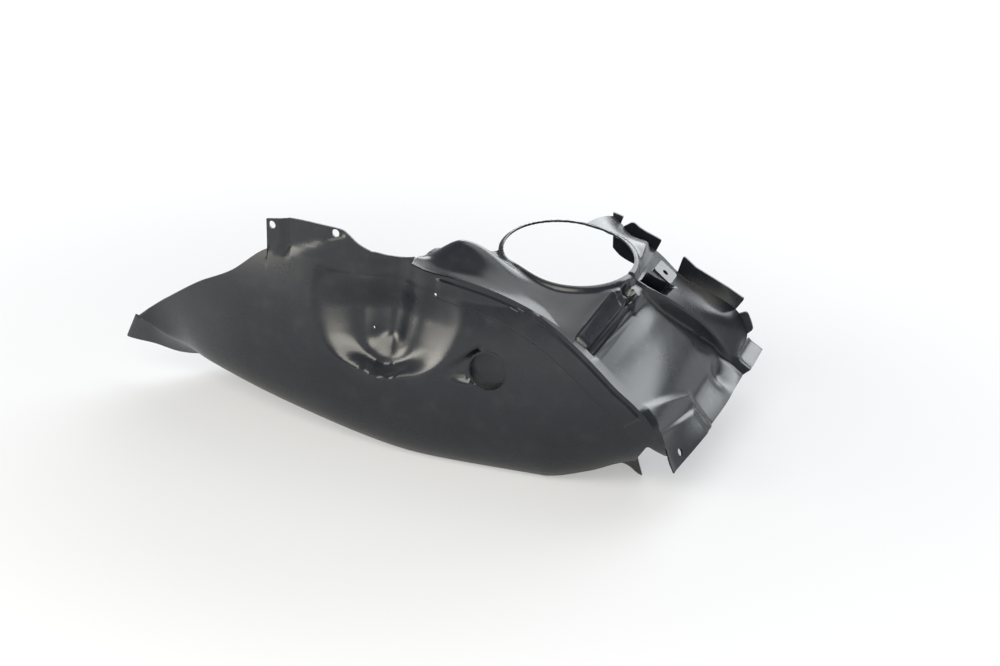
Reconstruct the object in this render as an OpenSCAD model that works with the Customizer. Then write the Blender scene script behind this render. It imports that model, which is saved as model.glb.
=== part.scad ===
// Wheel arch liner: one thin moulded sheet.
// X runs along the car, Y away from the viewer (towards the outer side), Z up from the floor.
// The shapes are laid out with the wheel axis parallel to Y at X = 0, below the floor; the finished
// liner is then moved so that the origin is at the bottom centre of its box.

/* [Arch] */
// Radius of the arch at its near ridge, from the wheel axis
arch_radius = 332; // [310:1:350]
// Depth of the wheel axis below the floor
axle_drop = 70; // [64:1:76]
// Width of the roof from the ridge to its far edge
roof_width = 296; // [280:1:315]
// Angle of the roof's end edge from the vertical
end_angle = 68; // [66:0.5:70]
// Extra radius of the far edge over the ridge
flare = 18; // [10:1:26]

/* [Side wall] */
// Length of the wing from the wheel axis to its tip
wing_length = 450; // [410:5:480]
// Radius of the plan curve of the wing
plan_radius = 1400; // [1200:50:1800]
// How far the lower edge lies behind the top edge
tuck = 42; // [34:1:50]
// Height over which the wall turns under
belly_height = 120; // [100:5:140]
// Width of the turned-in foot
foot_width = 104; // [90:2:120]

/* [Sheet] */
// Thickness of the moulded sheet
sheet = 2.4; // [2:0.1:2.8]

/* [Openings and fixings] */
// Diameter of the round strut opening
opening_d = 160; // [150:1:168]
// Diameter of the holes in the tabs
tab_hole_d = 10; // [8:0.5:12]
// Distance between the two holes of the upper tab
tab_hole_pitch = 88; // [82:1:92]
// Diameter of the hole in the boss
boss_hole_d = 8; // [6:0.5:10]
// Height of the upstanding flanges
flange_h = 26; // [20:1:30]

/* [Pressed features] */
// Depth of the channel pressed into the wall
channel_depth = 18; // [12:1:22]
// Depth of the dish round the channel
dish_depth = 20; // [12:1:26]
// Height of the strip that follows the ridge
strip_h = 3; // [2:0.5:4]
// Height of the panel behind the scoop
panel_h = 12; // [8:1:15]

/* [Hidden] */
$fn = 96;

axle_z = -axle_drop;
crown_h = arch_radius - axle_drop;
wing = wing_length / 450;
high = crown_h / 262;
roof_k = roof_width / 296;
reach = arch_radius / 332;
hub = [133 * reach, 136 * roof_k];  // centre of the strut opening in plan
hub_r = opening_d / 2;
home = [73.643, -168, 0];             // from the wheel axis to the middle of the liner's box

// Small functions
function unit_of(x) = max(0, min(1, x));
function ease(a, b, x) = let (t = unit_of((x - a) / (b - a))) t * t * (3 - 2 * t);
function mix(a, b, t) = a + (b - a) * t;
function strip(x, a, b, edge) = ease(a - edge, a, x) * (1 - ease(b, b + edge, x));
function hill(x, half) = abs(x) < half ? pow(cos(90 * x / half), 2) : 0;

// smooth curve through points [place, value] whose places increase
function slope(p, i) =
    let (a = max(0, i - 1), b = min(len(p) - 1, i + 1)) (p[b][1] - p[a][1]) / (p[b][0] - p[a][0]);
function span(p, x, i = 0) = (i >= len(p) - 2 || x <= p[i + 1][0]) ? i : span(p, x, i + 1);
function along(p, x) =
    let (i = span(p, x), w = p[i + 1][0] - p[i][0], t = unit_of((x - p[i][0]) / w),
         m0 = slope(p, i) * w, m1 = slope(p, i + 1) * w)
    (1 + 2 * t) * pow(1 - t, 2) * p[i][1] + t * pow(1 - t, 2) * m0
    + t * t * (3 - 2 * t) * p[i + 1][1] + t * t * (t - 1) * m1;

// Side wall
// top edge of the wing, as shares of the wing's length and the crown's height
EDGE = [[-1, 0.385], [-0.96, 0.44], [-0.885, 0.538], [-0.74, 0.706], [-0.61, 0.824],
        [-0.493, 0.966], [-0.375, 1.0], [-0.244, 1.03], [-0.171, 1.038], [-0.131, 1.019],
        [-0.084, 1.019], [-0.04, 1.046]];
// top edge of the two-hole tab
TAB = [[-0.49, 1.118], [-0.43, 1.136], [-0.375, 1.141], [-0.307, 1.138], [-0.244, 1.122],
       [-0.211, 1.08], [-0.171, 1.038]];
tab_left = -0.488 * wing_length;
function plain_edge(x) = crown_h * along(EDGE, x / wing_length);
function edge_z(x) =
    let (s = x / wing_length)
    (x > tab_left && s < -0.171) ? crown_h * along(TAB, s) : plain_edge(x);

function plan_y(x) = pow(max(0, 60 - x), 2) / (2 * plan_radius);
// height of the lower limb above the floor along the wall
LIMB = [[-450, 101], [-434, 92], [-409, 74], [-362, 56], [-302, 44], [-237, 32], [-180, 22],
        [-110, 10], [-50, 2], [0, 0], [140, 0], [195, 16], [232, 33], [256, 42], [275, 52]];
function limb_z(x) = max(0, along(LIMB, x < 0 ? x / wing : x));
function limb_y(x) = plan_y(x) + tuck * ease(-455, -370, x / wing);
// free edge of the foot: height, distance behind the limb and shift to the left
FOOT_Z = [[-450, 60], [-430, 56], [-410, 38], [-390, 27], [-367, 20], [-320, 3], [-280, 0], [275, 0]];
FOOT_Y = [[-450, 17], [-430, 18], [-404, 38], [-367, 78], [-320, 98], [-250, 104], [180, 104],
          [215, 80], [234, 48], [250, 34], [275, 30]];
FOOT_X = [[-450, -26], [-430, -13], [-404, -3], [-367, 0], [275, 0]];

// base of the wall at plan place x and height z
function belly(h) =
    let (q = unit_of(h / belly_height)) 1 - sqrt(1 - pow(1 - q, 2));
function wall_y(x, z) =
    let (h = z - limb_z(x), top = plan_y(x), out = 14 * ease(-450, -250, x))
    mix(top - out * (1 - pow(unit_of((h - belly_height) / 115), 2)), limb_y(x), belly(h));

// Roof
// ridge: where wall and roof meet, as extra radius over the angle
RIDGE = [[-3, 10], [0, 3], [4, 0], [30, 0], [46, 0], [52, 5], [57, 6], [62, 0], [70, 0]];
function ridge_r(a) = arch_radius + along(RIDGE, a);
FAR_R = [[-3, 14], [20, 18], [25, 14], [30, 6], [36, 10], [43.8, 10], [50, 26], [56, 42], [61, 39],
         [62.6, 31], [64.6, 18], [68, 29]];
function far_r(a) = arch_radius + along(FAR_R, a) * flare / 18;

// tower round the strut opening: a tilted plane, as a radius at angle a
function tower_r(a, y) =
    (251 * high - axle_z + 0.1 * (y - hub[1]) + 0.118 * 134) / (cos(a) + 0.118 * sin(a));

// near side of the roof: it climbs from the ridge to a crest, then dips to the foot of the step
CREST_Y = [[-3, 48], [15, 50], [25, 58], [30, 64], [34, 82], [36, 102], [38.4, 118], [40.3, 138],
           [45.4, 156], [50, 172], [55, 186], [59.3, 197], [62, 210], [68, 216]];
CREST_R = [[34, 38], [38.4, 37], [40.3, 28], [45.4, 20], [50, 16], [55, 13], [59.3, 10], [62, 10],
           [68, 22]];
DIP_R = [[34, 38], [38, 37], [40.3, 27], [42, 21], [45, 13], [50, 7], [55, 6], [59.3, 8.5], [62, 9],
         [68, 21]];
function near_r(a, y) =
    let (past = ease(33, 36, a), crest_y = along(CREST_Y, a) * roof_k,
         crest = mix(tower_r(a, y), arch_radius + along(CREST_R, a), past),
         ledge = 15 * (1 - ease(25, 31, a)), t = unit_of((y - ledge) / (crest_y - ledge)),
         rise = mix(t * t * (3 - 2 * t), mix(t, sin(90 * t), ease(39, 44, a)), ease(22, 34, a)),
         dip = mix(tower_r(a, y), arch_radius + along(DIP_R, a), past))
    mix(mix(ridge_r(a), crest, rise), dip, ease(crest_y, step_y(a) - 3, y));

// line of the step that parts the near side from the raised far panel, and the panel's radius there
STEP = [[33, 122], [35, 128], [38.7, 142], [43.6, 173], [48.7, 204], [53.1, 228], [60.6, 258],
        [68, 272]];
STEP_R = [[33, 42], [35, 43], [38.7, 40], [43.6, 34], [48.7, 28], [53.1, 24], [60.6, 17], [64, 16],
          [68, 22]];
function step_y(a) = along(STEP, a) * roof_k;
function panel_r(a, y) =
    let (lift = 7 + (along(STEP_R, a) - 7) * panel_h / 12,
         edge = mix(tower_r(a, y), arch_radius + lift, ease(33, 36, a)),
         y0 = mix(hub[1] + 60, step_y(a), ease(33, 36, a)), t = unit_of((y - y0) / (roof_width - y0)))
    mix(edge, far_r(a), t * t * (2 - t)) + 4 * hill(t - 0.45, 0.5) * ease(38, 44, a);

function base_r(a, y) =
    let (s = step_y(a)) mix(near_r(a, y), panel_r(a, y), ease(s - 2, s + 2, y));
function hub_gap(a, y) =
    let (r = a < 34 ? tower_r(a, y) : base_r(a, y)) norm([r * sin(a) - hub[0], y - hub[1]]);

function roof_feature(a, b, y) =
    let (x = tower_r(a, y) * sin(a), gap = hub_gap(a, y), s = step_y(a), behind = y - s,
         hump = 36 * exp(-pow((x - 30 * reach) / (x < 30 * reach ? 36 : 58), 2) - pow((y - 46) / 25, 2)),
         collar = 5 * strip(gap, 0, hub_r + 2, 6),
         rib = 4 * strip(a, 34.2, 37.1, 0.5) * strip(y, 4, 78, 4),
         channel = -5 * strip(a, 37.6, 38.6, 0.6) * strip(y, 4, 100, 5)
                   - 3 * strip(a, 38.6, 39, 1.8) * strip(y, 4, 100, 5),
         pocket = -9 * strip(a, 35.4, 37.2, 0.7) * strip(y, 96, 112, 3),
         cavity = -24 * strip(a, 37.6, 41.4, 0.9) * strip(behind, 8, 40, 3),
         pad = 3.5 * ease(52.8, 53.6, b) * (1 - ease(116, 121, y))
               + 2 * ease(59.2, 60, b) * (1 - ease(98, 103, y)),
         dent = -9 * exp(-pow((a - 64.5) / 2.4, 2) - pow((y - 222) / 20, 2)))
    hump + collar + rib + channel + pocket + cavity + pad + dent;

function wall_feature(x, z) =
    let (r = norm([x, z - axle_z]), a = atan2(x, z - axle_z), down = unit_of((z - 142) / 120),
         mid = mix(-60, -46, down), u = z < 167 ? norm([x - mid, z - 167]) : abs(x - mid),
         mouth = mix(36, 50, unit_of((z - 167) / 80)), turn = abs(atan2(x - mid, 167 - z)),
         outer = 47 + 56 * ease(25, 115, turn),
         dish = -dish_depth * unit_of((outer - u) / (outer - mouth)) * (1 - 0.75 * ease(195, 245, z)),
         channel = dish - channel_depth * hill(u, mouth),
         line = strip_h * strip(ridge_r(a) - r, 9, 31, 2.5) * strip(a, 3, 54, 1.2),
         half = 0.38 * max(0, x - 22),
         ramp = -8 * ease(22, 66, x) * strip(z - 139 - 0.4 * (x - 22), -half, half, 3.5)
                * (1 - ease(66, 74, x)),
         tab = 2.5 * ease(tab_left + 30, tab_left + 28, x) * ease(256, 258.5, z)
               - 2.5 * ease(262 + (x + 173) * 0.4, 264.5 + (x + 173) * 0.4, z) * strip(x, -192, -113, 3))
    channel + line + ramp + tab * ease(-225, tab_left, x);

// Grid of points over the whole sheet
WING_X = concat([for (k = [0:13]) -wing_length + k * (wing_length + tab_left - 1) / 13],
                [for (k = [0:7]) tab_left + 1 + k * (-tab_left - 115) / 7],
                [for (k = [0:8]) -106 + k * 10]);
ANGLES = [-3, -1, 1, 3.5, 6, 8.5, 11, 13.5, 16, 18.5, 21, 24, 27, 30, 32, 33.7, 34.2, 35.5, 37.1, 37.6,
          38.6, 39, 40.8, 42, 43.5, 46, 48.5, 51, 52.8, 53.6, 55.5, 57.5, 59.2, 60, 62, 64, 66.3,
          end_angle];
LIMB_X = [[-3, -14], [20, 80], [40, 178], [55, 238], [62, 257], [70, 270]];

wing_n = len(WING_X);
angle_n = len(ANGLES);
cols = wing_n + angle_n;

FOOT = [1, 0.55, 0.12];
RISE = [0, 0.04, 0.11, 0.2, 0.3, 0.39, 0.47, 0.54, 0.61, 0.68, 0.76, 0.85, 0.93];
BELOW = [37, 33.5, 31, 9, 6.5, 3, 0];
rows = len(FOOT) + len(RISE) + len(BELOW);

// top point [x, z] of a wall column and the direction down the wall from it
function top_of(i) =
    i < wing_n ? [WING_X[i], edge_z(WING_X[i])]
               : let (a = ANGLES[i - wing_n]) [ridge_r(a) * sin(a), axle_z + ridge_r(a) * cos(a)];
function down_of(i) = i < wing_n ? [0, -1] : let (a = ANGLES[i - wing_n]) [-sin(a), -cos(a)];
function limb_of(i) = i < wing_n ? WING_X[i] - 6 * ease(-380, -450, WING_X[i])
                                 : along(LIMB_X, ANGLES[i - wing_n]);
function wall_xz(i, j) =
    let (t = top_of(i), d = down_of(i), lx = limb_of(i), l = [lx, limb_z(lx)],
         k = j - len(FOOT), room = min(1, norm(t - l) / 60),
         plain = i < wing_n ? [t[0], plain_edge(t[0])] : t, deep = plain + d * BELOW[0] * room)
    k < len(RISE) ? mix(l, deep, RISE[k]) : mix(t, deep, BELOW[k - len(RISE)] / BELOW[0]);

// outward direction of the wall: towards the viewer, turning down in the belly
function wall_dir(x, z) =
    let (q = unit_of((z - limb_z(x)) / belly_height), a = 80 * pow(1 - q, 1.6)) [0, -cos(a), -sin(a)];
function wall_point(i, j, depth) =
    j < len(FOOT)
    ? let (x = limb_of(i), u = x < 0 ? x / wing : x, f = FOOT[j])
      [x + f * along(FOOT_X, u), limb_y(x) + f * along(FOOT_Y, u) * foot_width / 104,
       mix(limb_z(x), max(0, along(FOOT_Z, u)), f) + depth]
    : let (p = wall_xz(i, j), n = wall_dir(p[0], p[1]), q = wall_y(p[0], p[1]),
           d = (wall_feature(p[0], p[1]) - depth))
      [p[0], q, p[1]] + n * d;

// the columns of the roof lean to the right away from the ridge, so that a step can follow them
function lean(b, y) =
    b + 7 * unit_of(y / 123) * (b < 53.5 ? unit_of((b - 42) / 11.5) : unit_of((68 - b) / 14.5));
function roof_point(b, y, depth) =
    let (a = lean(b, y), r = base_r(a, y) + roof_feature(a, b, y) - depth)
    [r * sin(a), y, axle_z + r * cos(a)];
NEAR_Y = [0, 0.04, 0.11, 0.18, 0.26, 0.34, 0.42, 0.5, 0.58, 0.66, 0.74, 0.83, 0.92, 1];
STEP_Y = [-22, -10, -2, 2, 8, 24, 40, 44];
FAR_Y = [0.2, 0.45, 0.72, 1];
LIP = [14, 34];
function row_y(a, m) =
    let (s = step_y(lean(a, 200)), n = len(NEAR_Y), f = m - n)
    m < n ? NEAR_Y[m] * (s - 32) - 9 * ease(61.5, 66.5, a) * (1 - NEAR_Y[m])
    : f < len(STEP_Y) ? s + STEP_Y[f] * min(1, (roof_width - s) / 60)
                      : mix(s + 44 * min(1, (roof_width - s) / 60), far_y(lean(a, 200)),
                            FAR_Y[f - len(STEP_Y)]);
// the end of the roof runs out into a wider tab
function far_y(a) = roof_width + 54 * ease(63, 64.8, a);
roof_rows = len(NEAR_Y) + len(STEP_Y) + len(FAR_Y);
lanes = roof_rows + len(LIP);
function lip_point(a, k, depth) =
    let (e = roof_point(a, far_y(lean(a, 200)), 0), drop = LIP[k] * mix(0.35, 1, 1 - ease(38, 46, a)))
    e + [-sin(a) * drop, 3 - depth * 1, -cos(a) * drop];
function lane_point(k, m, depth) =
    m < roof_rows ? roof_point(ANGLES[k], row_y(ANGLES[k], m), depth)
                  : lip_point(ANGLES[k], m - roof_rows, depth);
// on the ridge the inner point is one sheet behind the wall and one below the roof
function ridge_point(k, depth) =
    let (p = roof_point(ANGLES[k], row_y(ANGLES[k], 0), depth)) p + [0, depth, 0];

function skin(depth) = concat(
    [for (i = [0:cols - 1], j = [0:rows - 1])
        (j == rows - 1 && i >= wing_n) ? ridge_point(i - wing_n, depth) : wall_point(i, j, depth)],
    [for (k = [0:angle_n - 1], m = [1:lanes - 1]) lane_point(k, m, depth)]);

wall_count = cols * rows;
half_count = wall_count + angle_n * (lanes - 1);
function wi(i, j) = i * rows + j;
function ri(k, m) = m == 0 ? wi(wing_n + k, rows - 1) : wall_count + k * (lanes - 1) + m - 1;

function quad(a, b, c, d) = [[a, b, c], [a, c, d]];
function back(f) = [for (t = f) [t[2] + half_count, t[1] + half_count, t[0] + half_count]];
function rim(a, b) = quad(a, b, b + half_count, a + half_count);
function flat(lists) = [for (l = lists, t = l) t];

module sheet_shell() {
    wall = flat([for (i = [0:cols - 2], j = [0:rows - 2])
        quad(wi(i, j), wi(i, j + 1), wi(i + 1, j + 1), wi(i + 1, j))]);
    roof = flat([for (k = [0:angle_n - 2], m = [0:lanes - 2])
        quad(ri(k, m), ri(k, m + 1), ri(k + 1, m + 1), ri(k + 1, m))]);
    front = concat(wall, roof);
    rims = flat(concat(
        [for (i = [0:cols - 2]) rim(wi(i, 0), wi(i + 1, 0))],
        [for (j = [0:rows - 2]) rim(wi(0, j + 1), wi(0, j))],
        [for (j = [0:rows - 2]) rim(wi(cols - 1, j), wi(cols - 1, j + 1))],
        [for (i = [0:wing_n - 1]) rim(wi(i + 1, rows - 1), wi(i, rows - 1))],
        [for (m = [0:lanes - 2]) rim(ri(0, m + 1), ri(0, m))],
        [for (m = [0:lanes - 2]) rim(ri(angle_n - 1, m), ri(angle_n - 1, m + 1))],
        [for (k = [0:angle_n - 2]) rim(ri(k + 1, lanes - 1), ri(k, lanes - 1))]));
    polyhedron(points = concat(skin(0), skin(sheet)), faces = concat(front, back(front), rims));
}

// the roof's far left corner is open: only a narrow ring runs round the strut opening there
module corner_cut() {
    translate([0, 0, 150]) linear_extrude(250) difference() {
        polygon([[-60, 400], [-60, 74], [8 * reach, 78], [34 * reach, 92],
                 [hub[0] - hub_r + 16, hub[1] - 16], hub,
                 [hub[0] - 20, hub[1] + hub_r - 4], [hub[0] + 12, roof_width + 20], [hub[0] + 12, 400]]);
        translate(hub) circle(r = hub_r + 6);
    }
}

// V notch between the wall's right end and the lower tab
notch_tip = [sin(61.75), cos(61.75)] * (arch_radius - 20.2) + [0, axle_z];
module notch_cut() {
    low = end_angle - 0.5;
    translate([0, 150, 0]) rotate([90, 0, 0]) linear_extrude(230)
        polygon([notch_tip, [254, 44], [250, -10], [330, -10],
                 [sin(low), cos(low)] * (arch_radius - 5) + [0, axle_z]]);
}

module hole_at(x, y, z, turn, tilt, d, h = 40) {
    translate([x, y, z]) rotate([0, tilt, 0]) rotate([0, 0, turn]) rotate([90, 0, 0])
        cylinder(h = h, d = d, center = true);
}

// the tab's left end stands proud, so the line through its two holes turns a little less than the plan
tab_turn = atan((60 + 168 * wing) / plan_radius) - 4.24;
tab_mid = [-167 * wing, plan_y(-167 * wing) + 2.6, 288.5 * high];
module tab_holes() {
    for (side = [-1, 1])
        translate(tab_mid) rotate([0, 0, -tab_turn]) translate([side * tab_hole_pitch / 2, 0, side * 1.5])
            rotate([90, 0, 0]) cylinder(h = 30, d = tab_hole_d, center = true);
}

lower_a = end_angle - 2;
module lower_hole() {
    translate([0, 24, axle_z]) rotate([0, lower_a, 0]) translate([0, 0, arch_radius - 20])
        cylinder(h = 50, d = tab_hole_d);
}

// flange standing up from the roof's far edge between two angles
module flange(a0, a1, h0, h1, s0 = 0.4, s1 = 0.4) {
    steps = 8;
    function at(a, r) = [r * sin(a), axle_z + r * cos(a)];
    low = [for (k = [0:steps]) let (a = mix(a0, a1, k / steps)) at(a, far_r(a) - 5)];
    top = [for (k = [steps:-1:0]) let (a = mix(a0 + s0, a1 - s1, k / steps))
        at(a, far_r(a) + mix(h0, h1, k / steps))];
    translate([0, roof_width + 2.4, 0]) rotate([90, 0, 0]) linear_extrude(sheet + 0.6)
        polygon(concat(low, top));
}

boss_a = 39.6;
boss_y = 216 * roof_k;
module boss() {
    r = panel_r(boss_a, boss_y);
    translate([0, boss_y, axle_z]) rotate([0, boss_a, 0]) translate([0, 0, r - 26]) linear_extrude(32) {
        square([28, 24], center = true);
        square([20, 32], center = true);
        for (sx = [-10, 10], sy = [-12, 12]) translate([sx, sy]) circle(r = 4, $fn = 24);
    }
}
module boss_hole() {
    translate([0, boss_y - 2, axle_z]) rotate([0, boss_a, 0]) cylinder(h = 500, d = boss_hole_d);
}

// round access pocket pressed into the wall
pocket_x = 82;
pocket_z = 152 * high;
module pocket_cup() {
    face = wall_y(pocket_x, pocket_z);
    translate([pocket_x, face + 1, pocket_z]) rotate([-90, 0, 0])
        difference() {
            cylinder(h = 12, r = 26);
            translate([0, 0, -1]) cylinder(h = 10.5, r = 23.5);
        }
}
module pocket_cut() {
    translate([pocket_x, wall_y(pocket_x, pocket_z) - 20, pocket_z]) rotate([-90, 0, 0])
        cylinder(h = 27, r = 23.5);
}

module arch_liner() {
    color([0.16, 0.17, 0.19]) translate(home) difference() {
        union() {
            sheet_shell();
            flange(23.4, 26.2, 4, flange_h - 16, 0, 0.3);
            flange(26.6, 35.9, flange_h - 11, flange_h - 9, 1.6, 0.7);
            flange(42.6, 55.8, flange_h - 4, flange_h - 6, -2, 1.3);
            flange(56.5, 61.3, 10, 9, 0.3, 0.6);
            boss();
            pocket_cup();
        }
        translate([hub[0], hub[1], 150]) cylinder(h = 200, r = hub_r);
        corner_cut();
        notch_cut();
        pocket_cut();
        tab_holes();
        lower_hole();
        boss_hole();
        hole_at(-77.2, 16, 171.3, 0, 0, 4, 30);
        hole_at(9, 0, 233, 0, 0, 4, 40);
    }
}

arch_liner();
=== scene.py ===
"""Wheel arch liner: a thin black moulded sheet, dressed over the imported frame.

The CAD model's own formulas are evaluated on a much finer grid, so the visual keeps its form and
gets smooth pressings, rounded rims and a moulded-plastic finish. Lengths in the formulas are in
millimetres from the wheel axis; HOME moves them to the row frame.
"""
import math

import bpy
import numpy as np
from mathutils import Matrix, Vector


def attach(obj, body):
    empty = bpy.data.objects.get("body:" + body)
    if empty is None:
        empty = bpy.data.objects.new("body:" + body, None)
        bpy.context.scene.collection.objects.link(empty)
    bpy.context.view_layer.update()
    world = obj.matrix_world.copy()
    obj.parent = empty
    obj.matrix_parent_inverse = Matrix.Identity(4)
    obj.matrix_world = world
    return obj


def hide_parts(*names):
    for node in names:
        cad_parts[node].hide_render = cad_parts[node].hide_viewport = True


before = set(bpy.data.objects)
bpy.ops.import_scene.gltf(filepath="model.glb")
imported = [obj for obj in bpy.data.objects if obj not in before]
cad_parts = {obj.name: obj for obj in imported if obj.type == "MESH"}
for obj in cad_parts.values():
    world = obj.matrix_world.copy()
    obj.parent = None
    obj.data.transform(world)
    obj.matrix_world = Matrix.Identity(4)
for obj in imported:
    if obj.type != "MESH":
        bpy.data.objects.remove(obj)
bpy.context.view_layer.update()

HOME = np.array([73.643, -168.0, 0.0])
ARCH = 332.0
AXLE = -70.0
ROOF = 296.0
END = 68.0
WING = 450.0
PLAN = 1400.0
TUCK = 42.0
BELLY = 120.0
SHEET = 2.4
CROWN = ARCH + AXLE
HUB = (133.0, 136.0)
HUB_R = 80.0
CHANNEL = 18.0
DISH = 20.0
STRIP = 3.0
PANEL = 12.0
FLARE = 18.0
FLANGE = 26.0


def unit_of(x):
    return np.clip(x, 0.0, 1.0)


def ease(a, b, x):
    t = unit_of((x - a) / (b - a))
    return t * t * (3 - 2 * t)


def mix(a, b, t):
    return a + (b - a) * t


def strip(x, a, b, edge):
    return ease(a - edge, a, x) * (1 - ease(b, b + edge, x))


def hill(x, half):
    return np.where(np.abs(x) < half, np.cos(np.pi / 2 * np.clip(x / half, -1, 1)) ** 2, 0.0)


def along(points, x):
    """Smooth curve through [place, value] points, the same as in the source."""
    p = np.array(points, float)
    x = np.asarray(x, float)
    n = len(p)
    lo, hi = np.maximum(np.arange(n) - 1, 0), np.minimum(np.arange(n) + 1, n - 1)
    slope = (p[hi, 1] - p[lo, 1]) / (p[hi, 0] - p[lo, 0])
    i = np.clip(np.searchsorted(p[:, 0], x, side="left") - 1, 0, n - 2)
    w = p[i + 1, 0] - p[i, 0]
    t = unit_of((x - p[i, 0]) / w)
    return ((1 + 2 * t) * (1 - t) ** 2 * p[i, 1] + t * (1 - t) ** 2 * slope[i] * w
            + t * t * (3 - 2 * t) * p[i + 1, 1] + t * t * (t - 1) * slope[i + 1] * w)


def sin(a):
    return np.sin(np.radians(a))


def cos(a):
    return np.cos(np.radians(a))


# Side wall
EDGE = [[-1, 0.385], [-0.96, 0.44], [-0.885, 0.538], [-0.74, 0.706], [-0.61, 0.824],
        [-0.493, 0.966], [-0.375, 1.0], [-0.244, 1.03], [-0.171, 1.038], [-0.131, 1.019],
        [-0.084, 1.019], [-0.04, 1.046]]
TAB = [[-0.49, 1.118], [-0.43, 1.136], [-0.375, 1.141], [-0.307, 1.138], [-0.244, 1.122],
       [-0.211, 1.08], [-0.171, 1.038]]
TAB_LEFT = -0.488 * WING


def plain_edge(x):
    return CROWN * along(EDGE, x / WING)


def edge_z(x):
    s = x / WING
    return np.where((x > TAB_LEFT) & (s < -0.171), CROWN * along(TAB, s), plain_edge(x))


def plan_y(x):
    return np.maximum(0, 60 - x) ** 2 / (2 * PLAN)


LIMB = [[-450, 101], [-434, 92], [-409, 74], [-362, 56], [-302, 44], [-237, 32], [-180, 22],
        [-110, 10], [-50, 2], [0, 0], [140, 0], [195, 16], [232, 33], [256, 42], [275, 52]]
FOOT_Z = [[-450, 60], [-430, 56], [-410, 38], [-390, 27], [-367, 20], [-320, 3], [-280, 0], [275, 0]]
FOOT_Y = [[-450, 17], [-430, 18], [-404, 38], [-367, 78], [-320, 98], [-250, 104], [180, 104],
          [215, 80], [234, 48], [250, 34], [275, 30]]
FOOT_X = [[-450, -26], [-430, -13], [-404, -3], [-367, 0], [275, 0]]


def limb_z(x):
    return np.maximum(0, along(LIMB, x))


def limb_y(x):
    return plan_y(x) + TUCK * ease(-455, -370, x)


def belly(h):
    q = unit_of(h / BELLY)
    return 1 - np.sqrt(np.maximum(0, 1 - (1 - q) ** 2))


def wall_y(x, z):
    h, top, out = z - limb_z(x), plan_y(x), 14 * ease(-450, -250, x)
    return mix(top - out * (1 - unit_of((h - BELLY) / 115) ** 2), limb_y(x), belly(h))


# Roof
RIDGE = [[-3, 10], [0, 3], [4, 0], [30, 0], [46, 0], [52, 5], [57, 6], [62, 0], [70, 0]]
FAR_R = [[-3, 14], [20, 18], [25, 14], [30, 6], [36, 10], [43.8, 10], [50, 26], [56, 42], [61, 39],
         [62.6, 31], [64.6, 18], [68, 29]]
CREST_Y = [[-3, 48], [15, 50], [25, 58], [30, 64], [34, 82], [36, 102], [38.4, 118], [40.3, 138],
           [45.4, 156], [50, 172], [55, 186], [59.3, 197], [62, 210], [68, 216]]
CREST_R = [[34, 38], [38.4, 37], [40.3, 28], [45.4, 20], [50, 16], [55, 13], [59.3, 10], [62, 10],
           [68, 22]]
DIP_R = [[34, 38], [38, 37], [40.3, 27], [42, 21], [45, 13], [50, 7], [55, 6], [59.3, 8.5], [62, 9],
         [68, 21]]
STEP = [[33, 122], [35, 128], [38.7, 142], [43.6, 173], [48.7, 204], [53.1, 228], [60.6, 258],
        [68, 272]]
STEP_R = [[33, 42], [35, 43], [38.7, 40], [43.6, 34], [48.7, 28], [53.1, 24], [60.6, 17], [64, 16],
          [68, 22]]


def ridge_r(a):
    return ARCH + along(RIDGE, a)


def far_r(a):
    return ARCH + along(FAR_R, a) * FLARE / 18


def tower_r(a, y):
    return (251 - AXLE + 0.1 * (y - HUB[1]) + 0.118 * 134) / (cos(a) + 0.118 * sin(a))


def near_r(a, y):
    past = ease(33, 36, a)
    crest_y = along(CREST_Y, a)
    crest = mix(tower_r(a, y), ARCH + along(CREST_R, a), past)
    ledge = 15 * (1 - ease(25, 31, a))
    t = unit_of((y - ledge) / (crest_y - ledge))
    rise = mix(t * t * (3 - 2 * t), mix(t, np.sin(np.pi / 2 * t), ease(39, 44, a)), ease(22, 34, a))
    dip = mix(tower_r(a, y), ARCH + along(DIP_R, a), past)
    return mix(mix(ridge_r(a), crest, rise), dip, ease(crest_y, step_y(a) - 3, y))


def step_y(a):
    return along(STEP, a)


def panel_r(a, y):
    lift = 7 + (along(STEP_R, a) - 7) * PANEL / 12
    edge = mix(tower_r(a, y), ARCH + lift, ease(33, 36, a))
    y0 = mix(HUB[1] + 60, step_y(a), ease(33, 36, a))
    t = unit_of((y - y0) / (ROOF - y0))
    return mix(edge, far_r(a), t * t * (2 - t)) + 4 * hill(t - 0.45, 0.5) * ease(38, 44, a)


def base_r(a, y):
    s = step_y(a)
    return mix(near_r(a, y), panel_r(a, y), ease(s - 2, s + 2, y))


def hub_gap(a, y):
    r = np.where(a < 34, tower_r(a, y), base_r(a, y))
    return np.hypot(r * sin(a) - HUB[0], y - HUB[1])


def roof_feature(a, b, y):
    x, gap, behind = tower_r(a, y) * sin(a), hub_gap(a, y), y - step_y(a)
    hump = 36 * np.exp(-((x - 30) / np.where(x < 30, 36, 58)) ** 2 - ((y - 46) / 25) ** 2)
    collar = 5 * strip(gap, 0, HUB_R + 2, 6)
    rib = 4 * strip(a, 34.2, 37.1, 0.5) * strip(y, 4, 78, 4)
    channel = (-5 * strip(a, 37.6, 38.6, 0.6) - 3 * strip(a, 38.6, 39, 1.8)) * strip(y, 4, 100, 5)
    pocket = -9 * strip(a, 35.4, 37.2, 0.7) * strip(y, 96, 112, 3)
    cavity = -24 * strip(a, 37.6, 41.4, 0.9) * strip(behind, 8, 40, 3)
    pad = (3.5 * ease(52.5, 54.1, b) * (1 - ease(112, 124, y))
           + 2 * ease(58.9, 60.4, b) * (1 - ease(94, 106, y)))
    dent = -9 * np.exp(-((a - 64.5) / 2.4) ** 2 - ((y - 222) / 20) ** 2)
    return hump + collar + rib + channel + pocket + cavity + pad + dent


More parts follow.
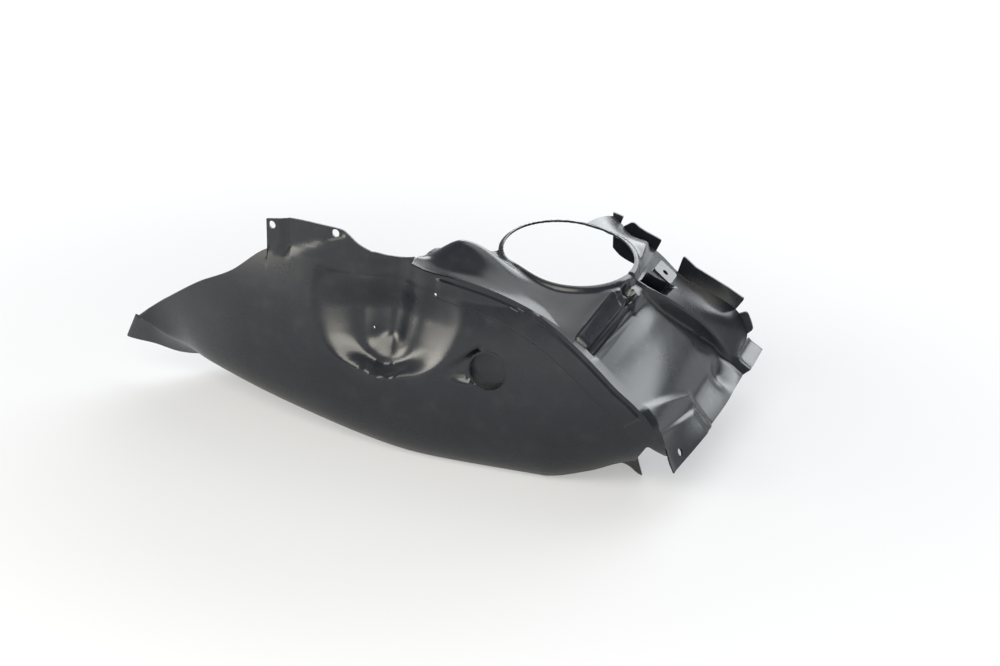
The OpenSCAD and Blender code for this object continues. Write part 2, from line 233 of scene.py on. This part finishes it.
def wall_feature(x, z):
    r, a = np.hypot(x, z - AXLE), np.degrees(np.arctan2(x, z - AXLE))
    down = unit_of((z - 142) / 120)
    mid = mix(-60, -46, down)
    u = np.where(z < 167, np.hypot(x - mid, z - 167), np.abs(x - mid))
    mouth = mix(36, 50, unit_of((z - 167) / 80))
    turn = np.abs(np.degrees(np.arctan2(x - mid, 167 - z)))
    outer = 47 + 56 * ease(25, 115, turn)
    inward = unit_of((outer - u) / (outer - mouth))
    soft = mix(inward, inward * inward * (3 - 2 * inward), 0.8)
    dish = -DISH * soft * (1 - 0.75 * ease(195, 245, z))
    channel = dish - CHANNEL * hill(u, mouth)
    line = STRIP * strip(ridge_r(a) - r, 9, 31, 2.5) * strip(a, 3, 54, 1.2)
    half = 0.38 * np.maximum(0, x - 22)
    ramp = -7 * ease(22, 66, x) * strip(z - 139 - 0.4 * (x - 22), -half, half, 6.5) * (1 - ease(66, 74, x))
    tab = (2.5 * ease(TAB_LEFT + 30, TAB_LEFT + 28, x) * ease(256, 258.5, z)
           - 2.5 * ease(259 + (x + 173) * 0.4, 267 + (x + 173) * 0.4, z) * strip(x, -192, -113, 7))
    return channel + line + ramp + tab * ease(-225, TAB_LEFT, x)


# Fine grid
def spread(a, b, step):
    return np.linspace(a, b, max(2, int(round(abs(b - a) / step)) + 1))


def join_runs(*runs):
    out = [runs[0]]
    for r in runs[1:]:
        out.append(r[1:] if abs(r[0] - out[-1][-1]) < 1e-9 else r)
    return np.concatenate(out)


FINE = 1.0
WING_X = np.concatenate([spread(-WING, TAB_LEFT - 0.4, 3.8 * FINE), spread(TAB_LEFT + 0.4, -21, 2.8 * FINE)])
ANGLES = join_runs(spread(-3, 33.4, 0.5 * FINE), spread(33.4, 42, 0.25 * FINE), spread(42, 52.4, 0.5 * FINE),
                   spread(52.4, 54, 0.25), spread(54, 58.8, 0.5 * FINE), spread(58.8, 60.4, 0.25),
                   spread(60.4, END, 0.45 * FINE))
LIMB_X = [[-3, -14], [20, 80], [40, 178], [55, 238], [62, 257], [70, 270]]
FOOT = np.array([1, 0.98, 0.8, 0.55, 0.3, 0.12, 0.04])
RISE = np.concatenate([[0, 0.006, 0.018, 0.035, 0.055], np.linspace(0.08, 0.985, int(58 / FINE))])
BELOW = join_runs(spread(37, 34, 1.2), spread(34, 30.5, 0.7), spread(30.5, 9.5, 3), spread(9.5, 6, 0.7),
                  spread(6, 0, 1.5))
WING_N, ANGLE_N = len(WING_X), len(ANGLES)
COLS = WING_N + ANGLE_N
ROWS = len(FOOT) + len(RISE) + len(BELOW)


def wall_grid(depth):
    """Points of the wall, foot included: array COLS x ROWS x 3."""
    r = ridge_r(ANGLES)
    tx = np.concatenate([WING_X, r * sin(ANGLES)])
    tz = np.concatenate([edge_z(WING_X), AXLE + r * cos(ANGLES)])
    pz = np.concatenate([plain_edge(WING_X), AXLE + r * cos(ANGLES)])
    dx = np.concatenate([np.zeros(WING_N), -sin(ANGLES)])
    dz = np.concatenate([-np.ones(WING_N), -cos(ANGLES)])
    lx = np.concatenate([WING_X - 6 * ease(-380, -450, WING_X), along(LIMB_X, ANGLES)])
    lz = limb_z(lx)
    room = np.minimum(1, np.hypot(tx - lx, tz - lz) / 60)
    deep_x, deep_z = tx + dx * BELOW[0] * room, pz + dz * BELOW[0] * room
    up = RISE[None, :]
    lo = (BELOW / BELOW[0])[None, :]
    x = np.concatenate([mix(lx[:, None], deep_x[:, None], up), mix(tx[:, None], deep_x[:, None], lo)], 1)
    z = np.concatenate([mix(lz[:, None], deep_z[:, None], up), mix(tz[:, None], deep_z[:, None], lo)], 1)
    q = unit_of((z - limb_z(x)) / BELLY)
    a = 80 * (1 - q) ** 1.6
    d = wall_feature(x, z) - depth
    wall = np.stack([x, wall_y(x, z) - cos(a) * d, z - sin(a) * d], -1)
    u, f = lx[:, None], FOOT[None, :]
    foot = np.stack([u + f * along(FOOT_X, u), limb_y(u) + f * along(FOOT_Y, u),
                     mix(limb_z(u), np.maximum(0, along(FOOT_Z, u)), f) + depth], -1)
    return np.concatenate([foot, wall], 1)


def lean(b, y):
    return b + 7 * unit_of(y / 123) * np.where(b < 53.5, unit_of((b - 42) / 11.5), unit_of((68 - b) / 14.5))


def roof_point(b, y, depth):
    a = lean(b, y)
    r = base_r(a, y) + roof_feature(a, b, y) - depth
    return np.stack([r * sin(a), y, AXLE + r * cos(a)], -1)


NEAR = np.linspace(0, 1, int(56 / FINE))
STEPS = join_runs(spread(-30, -4, 2.6 * FINE), spread(-4, 4, 0.8 * FINE), spread(4, 46, 2.4 * FINE))[1:]
FAR = np.linspace(0, 1, int(26 / FINE))[1:]
LIP = np.array([1.2, 4, 9, 16, 25, 34])


def far_y(a):
    return ROOF + 54 * ease(63, 64.8, a)


def roof_grid(depth):
    """Points of the roof and its lip: array ANGLE_N x lanes x 3. Its first lane is the ridge."""
    b = ANGLES[:, None]
    s = step_y(lean(b, 200.0))
    short = np.minimum(1, (ROOF - s) / 60)
    far = far_y(lean(b, 200.0))
    y = np.concatenate([NEAR[None, :] * (s - 32) - 9 * ease(61.5, 66.5, b) * (1 - NEAR[None, :]),
                        s + STEPS[None, :] * short,
                        mix(s + 46 * short, far, FAR[None, :])], 1)
    b2 = np.broadcast_to(b, y.shape)
    roof = roof_point(b2, y, depth)
    edge = roof_point(b, far, 0.0)
    drop = LIP[None, :] * mix(0.35, 1, 1 - ease(38, 46, b))
    out = 3 * unit_of(LIP[None, :] / 4) - depth
    lip = np.stack([edge[..., 0] - sin(b) * drop, edge[..., 1] + out, edge[..., 2] - cos(b) * drop], -1)
    return np.concatenate([roof, lip], 1)


def build_sheet():
    """Closed fine mesh of the moulded sheet, in metres in the row frame."""
    points, faces = [], []
    size = 0
    grids = []
    for depth in (0.0, SHEET):
        wall, roof = wall_grid(depth), roof_grid(depth)
        ridge = roof[:, 0] + np.array([0, depth, 0])
        wall[WING_N:, -1] = ridge
        wid = np.arange(COLS * ROWS).reshape(COLS, ROWS) + size
        size += COLS * ROWS
        lanes = roof.shape[1]
        rid = np.empty((ANGLE_N, lanes), int)
        rid[:, 0] = wid[WING_N:, -1]
        rid[:, 1:] = np.arange(ANGLE_N * (lanes - 1)).reshape(ANGLE_N, lanes - 1) + size
        size += ANGLE_N * (lanes - 1)
        points += [wall.reshape(-1, 3), roof[:, 1:].reshape(-1, 3)]
        grids.append((wid, rid))
    (w0, r0), (w1, r1) = grids

    def quads(g, flip):
        q = np.stack([g[:-1, :-1], g[:-1, 1:], g[1:, 1:], g[1:, :-1]], -1).reshape(-1, 4)
        return q[:, ::-1] if flip else q

    def rim(a, b):
        """Quads from the outer edge a to the inner edge b."""
        return np.stack([a[:-1], a[1:], b[1:], b[:-1]], -1)

    faces += [quads(w0, False), quads(r0, False), quads(w1, True), quads(r1, True)]
    faces += [rim(w0[:, 0], w1[:, 0]), rim(w0[0, ::-1], w1[0, ::-1]), rim(w0[-1], w1[-1]),
              rim(w0[:WING_N + 1, -1][::-1], w1[:WING_N + 1, -1][::-1]),
              rim(r0[0, ::-1], r1[0, ::-1]), rim(r0[-1], r1[-1]), rim(r0[::-1, -1], r1[::-1, -1])]
    verts = (np.concatenate(points) + HOME) / 1000
    mesh = bpy.data.meshes.new("arch_liner_fine")
    mesh.from_pydata(verts.tolist(), [], np.concatenate(faces).tolist())
    mesh.update()
    return mesh


def add_object(name, mesh):
    o = bpy.data.objects.new(name, mesh)
    bpy.context.scene.collection.objects.link(o)
    return o


sheet = add_object("liner_sheet", build_sheet())
print("fine sheet", len(sheet.data.polygons))


def cylinder(name, centre, axis, radius, length, sides=64):
    """A cutter or a boss: centre in the wheel-axis frame in mm, axis a direction."""
    t = np.radians(np.arange(sides) * 360 / sides)
    z = Vector(axis).normalized()
    x = z.orthogonal().normalized()
    y = z.cross(x)
    ring = [x * (radius * math.cos(v)) + y * (radius * math.sin(v)) for v in t]
    c = Vector(centre) + Vector(HOME)
    pts = [(c + r - z * length / 2) / 1000 for r in ring] + [(c + r + z * length / 2) / 1000 for r in ring]
    n = sides
    faces = [list(range(n))[::-1], list(range(n, 2 * n))]
    faces += [[k, (k + 1) % n, n + (k + 1) % n, n + k] for k in range(n)]
    m = bpy.data.meshes.new(name)
    m.from_pydata([tuple(p) for p in pts], [], faces)
    m.update()
    return add_object(name, m)


def prism(name, outline, place, depth):
    """Outline points (u, v) in mm, placed by place(u, v, w) for w = 0 and w = depth."""
    n = len(outline)
    low = [place(u, v, 0) for u, v in outline]
    top = [place(u, v, depth) for u, v in outline]
    pts = [tuple((np.array(p) + HOME) / 1000) for p in low + top]
    faces = [list(range(n))[::-1], list(range(n, 2 * n))]
    faces += [[k, (k + 1) % n, n + (k + 1) % n, n + k] for k in range(n)]
    m = bpy.data.meshes.new(name)
    m.from_pydata(pts, [], faces)
    m.update()
    o = add_object(name, m)
    closed_outward(o)
    return o


def closed_outward(o):
    """Turns the faces of a closed mesh outward."""
    import bmesh
    b = bmesh.new()
    b.from_mesh(o.data)
    bmesh.ops.recalc_face_normals(b, faces=b.faces)
    b.to_mesh(o.data)
    b.free()


def bake(o):
    """Applies the object's modifiers to its mesh."""
    dg = bpy.context.evaluated_depsgraph_get()
    made = bpy.data.meshes.new_from_object(o.evaluated_get(dg))
    o.modifiers.clear()
    o.data = made


def boolean(o, other, operation):
    mod = o.modifiers.new("cut", "BOOLEAN")
    mod.operation, mod.solver, mod.object = operation, "MANIFOLD", other
    before = len(o.data.polygons)
    bake(o)
    bpy.data.objects.remove(other)
    if not len(o.data.polygons):
        raise RuntimeError("a boolean left nothing: " + operation)
    return before


def circle_points(cx, cy, r, a0=0, a1=360, n=48):
    return [(cx + r * math.cos(math.radians(a0 + (a1 - a0) * k / n)),
             cy + r * math.sin(math.radians(a0 + (a1 - a0) * k / n))) for k in range(n + (a1 - a0 < 360))]


def rounded(points, r, n=5):
    """Outline with its corners rounded; points in order, r one radius or one for each corner."""
    out, m = [], len(points)
    for i in range(m):
        p = np.array(points[i], float)
        a, b = np.array(points[i - 1], float) - p, np.array(points[(i + 1) % m], float) - p
        la, lb = np.linalg.norm(a), np.linalg.norm(b)
        rr = r[i] if isinstance(r, (list, tuple)) else r
        if rr <= 0:
            out.append(tuple(p))
            continue
        cut = min(rr, la * 0.45, lb * 0.45)
        p0, p1 = p + a / la * cut, p + b / lb * cut
        for k in range(n + 1):
            t = k / n
            out.append(tuple((1 - t) ** 2 * p0 + 2 * t * (1 - t) * p + t * t * p1))
    return out


def fuse_flange(a0, a1, h0, h1, s0=0.4, s1=0.4, radius=4.0):
    def at(a, r):
        return (r * math.sin(math.radians(a)), AXLE + r * math.cos(math.radians(a)))
    steps = 30
    low = [at(a, float(far_r(a)) - 5) for a in np.linspace(a0, a1, steps)]
    top = [at(a, float(far_r(a)) + mix(h0, h1, min(1, max(0, (a - a0) / (a1 - a0)))))
           for a in np.linspace(a1 - s1, a0 + s0, 5)]
    outline = rounded(low + top, [0] * len(low) + [radius] + [0] * (len(top) - 2) + [radius])
    return prism("flange", outline, lambda u, v, w: (u, ROOF - 0.6 + w, v), SHEET + 0.6)


for spec in ((23.4, 26.2, 4, FLANGE - 16, 0, 0.3), (26.6, 35.9, FLANGE - 11, FLANGE - 9, 1.6, 0.7),
             (42.6, 55.8, FLANGE - 4, FLANGE - 6, -2, 1.3), (56.5, 61.3, 10, 9, 0.3, 0.6)):
    boolean(sheet, fuse_flange(*spec), "UNION")

BOSS_A, BOSS_Y = 39.6, 216.0


def boss_place(u, v, w):
    """u along the roof's turn, v across it (Y), w outward."""
    a, r = math.radians(BOSS_A), float(panel_r(BOSS_A, BOSS_Y)) - 26 + w
    return (r * math.sin(a) + u * math.cos(a), BOSS_Y + v, AXLE + r * math.cos(a) - u * math.sin(a))


boolean(sheet, prism("boss", rounded([(-14, -16), (14, -16), (14, 16), (-14, 16)], 4.5), boss_place, 32), "UNION")

POCKET = (82.0, 152.0)
face_y = float(wall_y(*POCKET))
cup = cylinder("cup", (POCKET[0], face_y + 7, POCKET[1]), (0, 1, 0), 26, 12)
boolean(cup, cylinder("cup_in", (POCKET[0], face_y + 4.5, POCKET[1]), (0, 1, 0), 23.5, 11), "DIFFERENCE")
boolean(sheet, cup, "UNION")

# Cuts
cuts = [cylinder("hub", (HUB[0], HUB[1], 250), (0, 0, 1), HUB_R, 200, 160),
        cylinder("pocket", (POCKET[0], face_y - 5.05, POCKET[1]), (0, 1, 0), 23.5, 30, 96)]
turn = math.atan((60 + 168) / PLAN) - math.radians(4.24)
for side in (-1, 1):
    c = (-167 + side * 44 * math.cos(turn), float(plan_y(-167)) + 2.6 - side * 44 * math.sin(turn),
         288.5 + side * 1.5)
    cuts.append(cylinder("tab_hole", c, (math.sin(turn), math.cos(turn), 0), 5, 30))
low_a = math.radians(END - 2)
low_dir = (math.sin(low_a), 0, math.cos(low_a))
cuts.append(cylinder("low_hole", (low_dir[0] * 337, 24, AXLE + low_dir[2] * 337), low_dir, 5, 50))
boss_a = math.radians(BOSS_A)
cuts.append(cylinder("boss_hole", (math.sin(boss_a) * 360, BOSS_Y - 2, AXLE + math.cos(boss_a) * 360),
                     (math.sin(boss_a), 0, math.cos(boss_a)), 4, 120))
PIN = (-77.2, 171.3)
pin_y = float(wall_y(*PIN)) - float(wall_feature(*PIN))
cuts.append(cylinder("pin_1", (PIN[0], pin_y - 8, PIN[1]), (0, 1, 0), 2, 19.6, 32))
cuts.append(cylinder("pin_2", (9, 0, 233), (0, 1, 0), 2, 40, 32))

corner = ([(-60, 400), (-60, 74), (8, 78), (34, 92)]
          + circle_points(HUB[0], HUB[1], HUB_R + 6, 200, 95, 40)
          + [(HUB[0] + 12, ROOF + 20), (HUB[0] + 12, 400)])
cuts.append(prism("corner", corner, lambda u, v, w: (u, v, 150 + w), 250))
tip = (math.sin(math.radians(61.75)) * (ARCH - 20.2), math.cos(math.radians(61.75)) * (ARCH - 20.2) + AXLE)
low = math.radians(END - 0.5)
notch = rounded([tip, (254, 44), (250, -10), (330, -10),
                 (math.sin(low) * (ARCH - 5), math.cos(low) * (ARCH - 5) + AXLE)], [5, 0, 0, 0, 0], 8)
cuts.append(prism("notch", notch, lambda u, v, w: (u, w - 80, v), 230))
for c in cuts:
    closed_outward(c)
    boolean(sheet, c, "DIFFERENCE")

import bmesh
b = bmesh.new()
b.from_mesh(sheet.data)
bmesh.ops.dissolve_degenerate(b, edges=b.edges, dist=2e-6)
bmesh.ops.recalc_face_normals(b, faces=b.faces)
b.to_mesh(sheet.data)
b.free()
sheet.data.shade_smooth()
sheet.data.set_sharp_from_angle(angle=math.radians(38))
print("liner faces", len(sheet.data.polygons))
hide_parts("arch_liner")
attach(sheet, "root")
sheet.name = "liner_moulding"


# Materials
def material(name):
    m = bpy.data.materials.new(name)
    m.use_nodes = True
    t = m.node_tree
    t.nodes.clear()
    return m, t


def node(t, kind, inputs=None, **props):
    n = t.nodes.new(kind)
    for k, v in props.items():
        setattr(n, k, v)
    for k, v in (inputs or {}).items():
        if isinstance(v, bpy.types.NodeSocket):
            t.links.new(v, n.inputs[k])
        else:
            n.inputs[k].default_value = v
    return n


def plastic():
    m, t = material("liner_plastic")
    pos = node(t, "ShaderNodeTexCoord").outputs["Object"]
    broad = node(t, "ShaderNodeTexNoise", {"Vector": pos, "Scale": 7.0, "Detail": 4.0, "Roughness": 0.6})
    cloud = node(t, "ShaderNodeTexNoise", {"Vector": pos, "Scale": 38.0, "Detail": 5.0, "Roughness": 0.62})
    grain = node(t, "ShaderNodeTexNoise", {"Vector": pos, "Scale": 1500.0, "Detail": 2.0})
    pebble = node(t, "ShaderNodeTexVoronoi", {"Vector": pos, "Scale": 850.0}, feature="SMOOTH_F1")
    tone = node(t, "ShaderNodeValToRGB", {"Fac": broad.outputs["Fac"]})
    tone.color_ramp.elements[0].position, tone.color_ramp.elements[1].position = 0.3, 0.75
    tone.color_ramp.elements[0].color = (0.005, 0.007, 0.012, 1)
    tone.color_ramp.elements[1].color = (0.010, 0.013, 0.019, 1)
    dust = node(t, "ShaderNodeMapRange", {"Value": cloud.outputs["Fac"], "From Min": 0.52, "From Max": 0.8,
                                          "To Min": 0.0, "To Max": 0.22})
    colour = node(t, "ShaderNodeMix", {"Factor": dust.outputs["Result"], "A": tone.outputs["Color"],
                                       "B": (0.05, 0.051, 0.052, 1)}, data_type="RGBA")
    rough = node(t, "ShaderNodeMapRange", {"Value": cloud.outputs["Fac"], "From Min": 0.3, "From Max": 0.75,
                                           "To Min": 0.25, "To Max": 0.36})
    bump1 = node(t, "ShaderNodeBump", {"Height": grain.outputs["Fac"], "Strength": 0.06, "Distance": 0.0004})
    bump2 = node(t, "ShaderNodeBump", {"Height": pebble.outputs["Distance"], "Strength": 0.05,
                                       "Distance": 0.0005, "Normal": bump1.outputs["Normal"]})
    sh = node(t, "ShaderNodeBsdfPrincipled", {"Base Color": colour.outputs["Result"],
                                              "Roughness": rough.outputs["Result"],
                                              "Normal": bump2.outputs["Normal"], "IOR": 1.5,
                                              "Coat Weight": 0.55, "Coat Roughness": 0.2,
                                              "Coat Normal": bump2.outputs["Normal"]})
    out = node(t, "ShaderNodeOutputMaterial", {"Surface": sh.outputs["BSDF"]})
    return m


sheet.data.materials.clear()
sheet.data.materials.append(plastic())

# Stage, light and camera
TARGET = np.array([-59.7, 419.8, 0.0]) + HOME


def stage_material():
    m, t = material("floor_white")
    white = node(t, "ShaderNodeBsdfDiffuse", {"Color": (0.475, 0.487, 0.51, 1)})
    path = node(t, "ShaderNodeLightPath")
    pos = node(t, "ShaderNodeTexCoord").outputs["Object"]
    # The camera-only glow is weaker near the object, so the floor reads greyer around it: painted shade around
    # the object, added to the shadow the lamps cast. Further out the glow lifts the floor to white.
    away = node(t, "ShaderNodeVectorMath", {0: pos}, operation="LENGTH")
    far = node(t, "ShaderNodeMapRange", {"Value": away.outputs["Value"], "From Min": 0.45, "From Max": 2.2,
                                         "To Min": 0.36, "To Max": 0.86}, interpolation_type="SMOOTHSTEP")
    lift = node(t, "ShaderNodeMath", {0: path.outputs["Is Camera Ray"], 1: far.outputs["Result"]},
                operation="MULTIPLY")
    glow_with_painted_shade = node(t, "ShaderNodeEmission", {"Color": (1, 1, 1, 1), "Strength": lift.outputs["Value"]})
    both = node(t, "ShaderNodeAddShader", {0: white.outputs["BSDF"], 1: glow_with_painted_shade.outputs["Emission"]})
    node(t, "ShaderNodeOutputMaterial", {"Surface": both.outputs["Shader"]})
    return m


floor_mesh = bpy.data.meshes.new("floor")
floor_mesh.from_pydata([(-30, -30, 0), (30, -30, 0), (30, 30, 0), (-30, 30, 0)], [], [(0, 1, 2, 3)])
floor = add_object("floor", floor_mesh)
floor.data.materials.append(stage_material())

world = bpy.data.worlds.new("studio")
bpy.context.scene.world = world
world.use_nodes = True
t = world.node_tree
t.nodes.clear()
path = node(t, "ShaderNodeLightPath")
seen = node(t, "ShaderNodeMath", {0: path.outputs["Is Camera Ray"], 1: 1.0}, operation="MULTIPLY")
level = node(t, "ShaderNodeMix", {"Factor": seen.outputs["Value"], "A": 0.22, "B": 1.0}, data_type="FLOAT")
back = node(t, "ShaderNodeBackground", {"Color": (0.94, 0.97, 1, 1), "Strength": level.outputs["Result"]})
node(t, "ShaderNodeOutputWorld", {"Surface": back.outputs["Background"]})


def area(name, place, look, size, size_y, radiance, colour=(1, 1, 1)):
    """A soft box whose face has about the given radiance; the camera doesn't see it."""
    light = bpy.data.lights.new(name, "AREA")
    light.shape, light.size, light.size_y = "RECTANGLE", size, size_y
    light.energy = radiance * math.pi * size * size_y
    light.color = colour
    o = bpy.data.objects.new(name, light)
    bpy.context.scene.collection.objects.link(o)
    o.location = place
    o.rotation_euler = (Vector(look) - Vector(place)).to_track_quat("-Z", "Y").to_euler()
    o.visible_camera = False
    return o


def around(azimuth, elevation, distance):
    """Place of a lamp: azimuth 0 in front (-Y), turning towards +X."""
    a, e = math.radians(azimuth), math.radians(elevation)
    return (distance * math.sin(a) * math.cos(e), -distance * math.cos(a) * math.cos(e), distance * math.sin(e))


area("front", around(-8, 41, 3.0), (0, 0, 0.15), 3.8, 1.4, 4.4, (1.0, 0.95, 0.84))
area("left", around(-58, 11, 3.0), (0, 0, 0.15), 1.6, 1.0, 6.4, (1.0, 0.95, 0.84))
area("right", around(20, 14, 3.0), (0, 0, 0.15), 1.5, 1.3, 5.6, (1.0, 0.95, 0.84))
area("back", around(168, 29, 3.4), (0, 0, 0.15), 5.0, 2.0, 3.4, (0.93, 0.97, 1.0))
area("over", around(150, 68, 2.8), (0, 0, 0.1), 2.2, 1.6, 1.6)

az, el = math.radians(20), math.radians(24)
back_dir = Vector((math.sin(az) * math.cos(el), -math.cos(az) * math.cos(el), math.sin(el)))
cam = bpy.data.cameras.new("camera")
cam.lens, cam.sensor_width, cam.sensor_fit = 70.0, 36.0, "HORIZONTAL"
cam.clip_end = 100
camera = bpy.data.objects.new("camera", cam)
bpy.context.scene.collection.objects.link(camera)
camera.location = Vector(TARGET / 1000) + back_dir * 2.777
camera.rotation_euler = (-back_dir).to_track_quat("-Z", "Y").to_euler()
bpy.context.scene.camera = camera
bpy.context.scene.view_settings.view_transform = "Standard"
